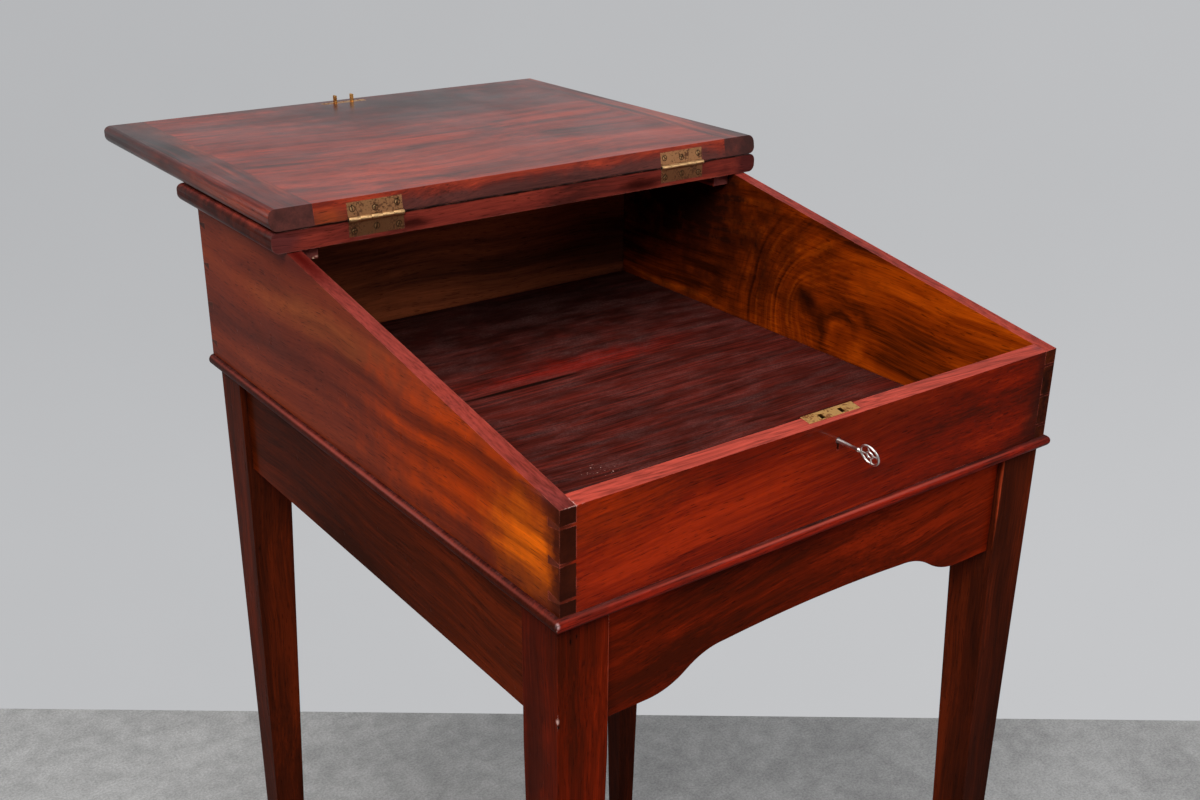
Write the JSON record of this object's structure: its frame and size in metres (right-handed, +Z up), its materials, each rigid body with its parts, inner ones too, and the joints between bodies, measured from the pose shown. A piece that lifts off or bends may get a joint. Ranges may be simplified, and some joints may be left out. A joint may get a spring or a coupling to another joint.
{
  "type": "clerk's standing desk",
  "caption": "Sloping wooden writing box with a hinged lid, a key lock and a beaded bottom edge, on a tall frame of tapered legs with a shaped front apron.",
  "frame": {"origin": "on the floor, under the middle of the desk's overall box with the lid folded back open and the key in its lock", "axes": "+X from the desk's left to its right as seen by the writer, +Y from the writer towards the back, +Z up"},
  "size_m": [0.641, 1.0234, 1.2498],
  "materials": {
    "mahogany_stand": "french polished, dark red-brown",
    "mahogany_box": "french polished, red-brown",
    "mahogany_lid": "french polished, rose-red",
    "softwood": "bare, aged",
    "brass": "dull antique brass",
    "steel": "worn bright steel"
  },
  "bodies": {
    "desk": {"leg_front_left": "mahogany_stand", "leg_front_right": "mahogany_stand", "leg_back_left": "mahogany_stand", "leg_back_right": "mahogany_stand", "front_apron": "mahogany_stand", "back_apron": "mahogany_stand", "left_apron": "mahogany_stand", "right_apron": "mahogany_stand", "stand_blocks": "softwood", "stand_block_screws": "steel", "bottom_board": "mahogany_box", "bottom_screws": "steel", "box_side_left": "mahogany_box", "box_side_right": "mahogany_box", "box_front": "mahogany_box", "box_back": "mahogany_box", "fixed_board": "mahogany_box", "fixed_board_blocks": "mahogany_box", "fixed_board_block_screws": "steel", "hinge_fixed_leaf_left": "brass", "hinge_fixed_leaf_right": "brass", "hinge_pin_left": "steel", "hinge_pin_right": "steel", "hinge_fixed_leaf_screws": "brass", "lock_plate": "brass", "lock_case": "brass", "lock_bolt_guides": "brass", "lock_drill_pin": "steel", "lock_screws": "brass"},
    "lid": {"lid_panel": "mahogany_lid", "lid_clamp_left": "mahogany_lid", "lid_clamp_right": "mahogany_lid", "hinge_lid_leaf_left": "brass", "hinge_lid_leaf_right": "brass", "hinge_lid_leaf_screws": "brass", "link_plate": "brass", "link_plate_screws": "brass"},
    "key": {"key": "steel"},
    "bolt": {"lock_bolt": "brass"}
  },
  "joints": [
    {"name": "lid_hinge", "type": "hinge", "parent": "desk", "child": "lid", "pos_m": [0, 0.0117, 1.2174], "axis": [1, 0, 0], "range_deg": [0, 190.2]},
    {"name": "key_turn", "type": "hinge", "parent": "desk", "child": "key", "pos_m": [-0.003, -0.4829, 1.08805], "axis": [0, -1, 0], "range_deg": [0, 360]},
    {"name": "bolt_slide", "type": "slide", "parent": "desk", "child": "bolt", "axis": [-1, 0, 0], "range_m": [0, 0.006]}
  ],
  "couplings": [
    {"joint": "bolt_slide", "follows": "key_turn", "m_per_rad": 0.00095493}
  ]
}
